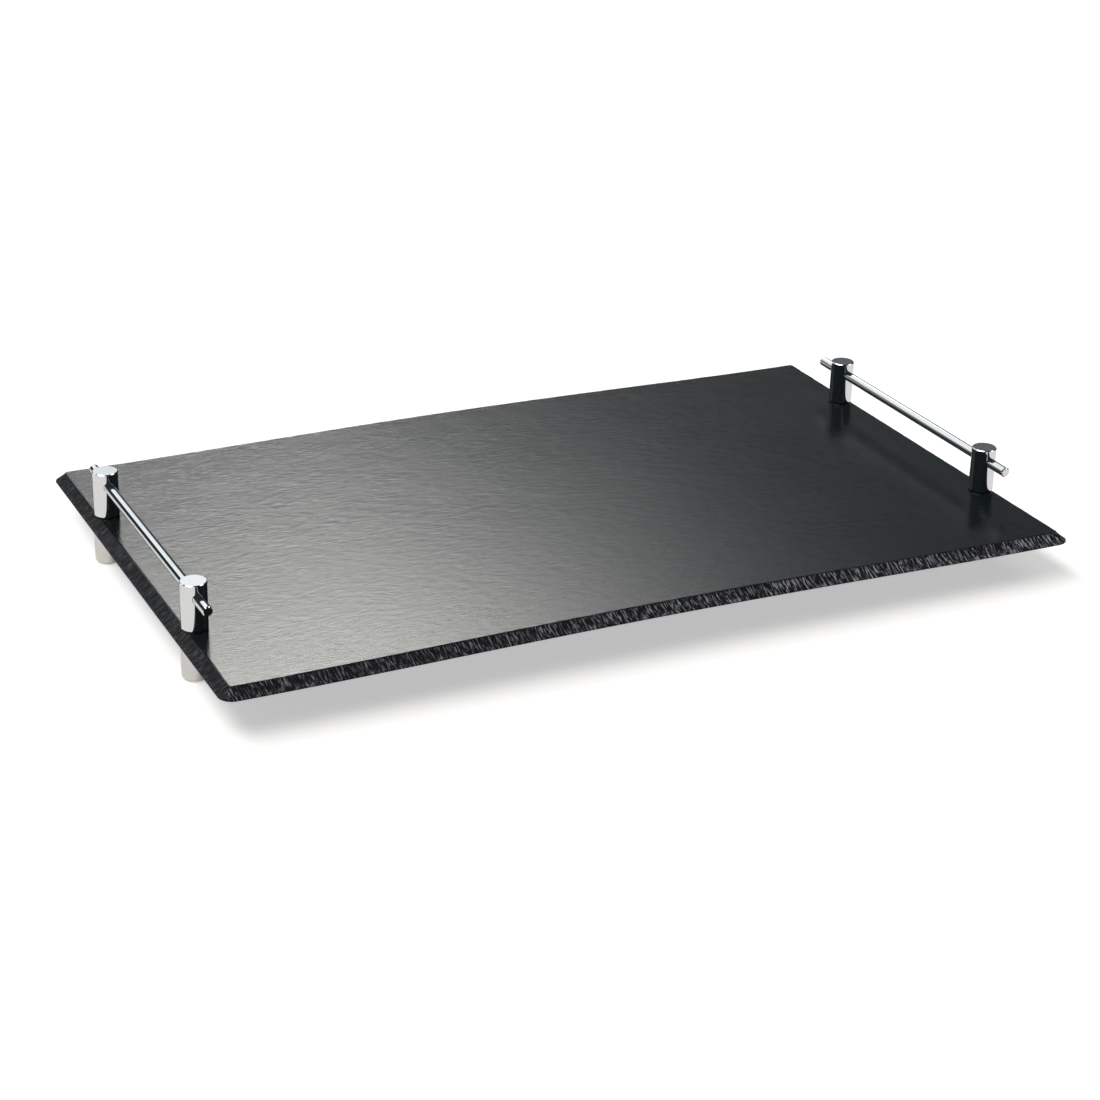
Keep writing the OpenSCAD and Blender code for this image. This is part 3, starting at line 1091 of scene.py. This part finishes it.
def floor_material():
    """A pale floor that takes the tray's shadow, looks white where it is bare, and is clear from below."""
    material, tree, shader, place = new_material("pale_floor")
    mottle = noise(place, FLOOR_MOTTLE_SCALE, 3, 0.5)
    pale = mixed(tree, mottle, FLOOR_PALE, FLOOR_PALER)
    shader.inputs["Roughness"].default_value = FLOOR_ROUGHNESS
    shader.inputs["Specular IOR Level"].default_value = FLOOR_GLOSS
    path = tree.nodes.new("ShaderNodeLightPath")
    mirrored = out(path, "Is Glossy Ray")
    # In the chrome's reflections the floor ends in the dark of the studio behind the tray.
    behind = mirrored * fade(parts_of(place)[1], *FLOOR_DARKENS)
    plug(tree, shader.inputs["Base Color"], mixed(tree, behind * FLOOR_DARKNESS, pale, FLOOR_DARK))
    mirrored_glow = mirrored * (1 - behind) * MIRRORED_GLOW
    shown = out(path, "Is Camera Ray") + mirrored_glow + out(path, "Is Transmission Ray")
    shader.inputs["Emission Color"].default_value = CLEAR_WHITE
    plug(tree, shader.inputs["Emission Strength"], shown.through("MINIMUM", 1.0) * FLOOR_GLOW)
    clear = tree.nodes.new("ShaderNodeBsdfTransparent")
    sided = tree.nodes.new("ShaderNodeMixShader")
    plug(tree, sided.inputs[0], out(tree.nodes.new("ShaderNodeNewGeometry"), "Backfacing"))
    plug(tree, sided.inputs[1], out(shader))
    plug(tree, sided.inputs[2], out(clear))
    leave = [node for node in tree.nodes if node.type == "OUTPUT_MATERIAL"][0]
    plug(tree, leave.inputs["Surface"], out(sided))
    return material


class TRAY_OT_stage(bpy.types.Operator):
    """Sets up the floor, the studio light and the camera"""

    bl_idname = "tray.stage"
    bl_label = "Stage"

    def execute(self, context):
        settings = context.scene.tray_stage
        half = settings.floor_size / 2
        mesh = bpy.data.meshes.new("floor")
        outline = [(-half, -half, 0), (half, -half, 0), (half, half, 0), (-half, half, 0)]
        mesh.from_pydata(outline, [], [(0, 1, 2, 3)])
        floor = bpy.data.objects.new("floor", mesh)
        context.scene.collection.objects.link(floor)
        mesh.materials.append(floor_material())
        studio_light(settings)
        place_camera(settings)
        context.scene.view_settings.view_transform = "Standard"
        return {"FINISHED"}


# The camera's sensor in millimetres, and how near and how far it sees in metres.
SENSOR_WIDTH = 36
NEAREST = 0.05
FARTHEST = 200


def place_camera(settings):
    """The camera at the photograph's own viewing angle."""
    heading, dip, lean = settings.heading, settings.dip, settings.lean
    ahead = Vector((math.sin(heading) * math.cos(dip), math.cos(heading) * math.cos(dip), -math.sin(dip)))
    level = Vector((math.cos(heading), -math.sin(heading), 0))
    down = ahead.cross(level)
    right = math.cos(lean) * level + math.sin(lean) * down
    below = math.cos(lean) * down - math.sin(lean) * level
    turn = Matrix((right, -below, -ahead)).transposed()
    data = bpy.data.cameras.new("camera")
    data.sensor_width = SENSOR_WIDTH
    data.lens = settings.lens
    data.clip_start = NEAREST
    data.clip_end = FARTHEST
    camera = bpy.data.objects.new("camera", data)
    bpy.context.scene.collection.objects.link(camera)
    camera.matrix_world = Matrix.Translation(Vector(settings.eye)) @ turn.to_4x4()
    bpy.context.scene.camera = camera


class TRAY_PT_tools(bpy.types.Panel):
    """Lists the tray's pieces and their settings in the sidebar"""

    bl_idname = "TRAY_PT_tools"
    bl_label = "Serving Tray"
    bl_space_type = "VIEW_3D"
    bl_region_type = "UI"
    bl_category = "Tray"

    def draw(self, context):
        layout = self.layout
        for operator in OPERATORS:
            layout.operator(operator.bl_idname)
        for name in SETTINGS:
            box = layout.box()
            group = getattr(context.scene, name)
            for prop in group.__annotations__:
                box.prop(group, prop)


OPERATORS = (TRAY_OT_stage, TRAY_OT_board, TRAY_OT_posts, TRAY_OT_rails, TRAY_OT_feet, TRAY_OT_pads,
             TRAY_OT_gaskets, TRAY_OT_screws)
SETTINGS = {
    "tray_board": BoardSettings,
    "tray_metal": MetalSettings,
    "tray_rubber": RubberSettings,
    "tray_stage": StageSettings,
}


def register():
    """Registers the settings, the operators and the panel."""
    for kind in (*SETTINGS.values(), *OPERATORS, TRAY_PT_tools):
        bpy.utils.register_class(kind)
    for name, kind in SETTINGS.items():
        setattr(bpy.types.Scene, name, PointerProperty(type=kind))


def unregister():
    """Takes them out again."""
    for name in SETTINGS:
        delattr(bpy.types.Scene, name)
    for kind in (TRAY_PT_tools, *reversed(OPERATORS), *reversed(SETTINGS.values())):
        bpy.utils.unregister_class(kind)


def main():
    """Builds the tray's surfaces."""
    register()
    for operator in OPERATORS:
        family, name = operator.bl_idname.split(".")
        getattr(getattr(bpy.ops, family), name)()


if __name__ == "__main__":
    main()
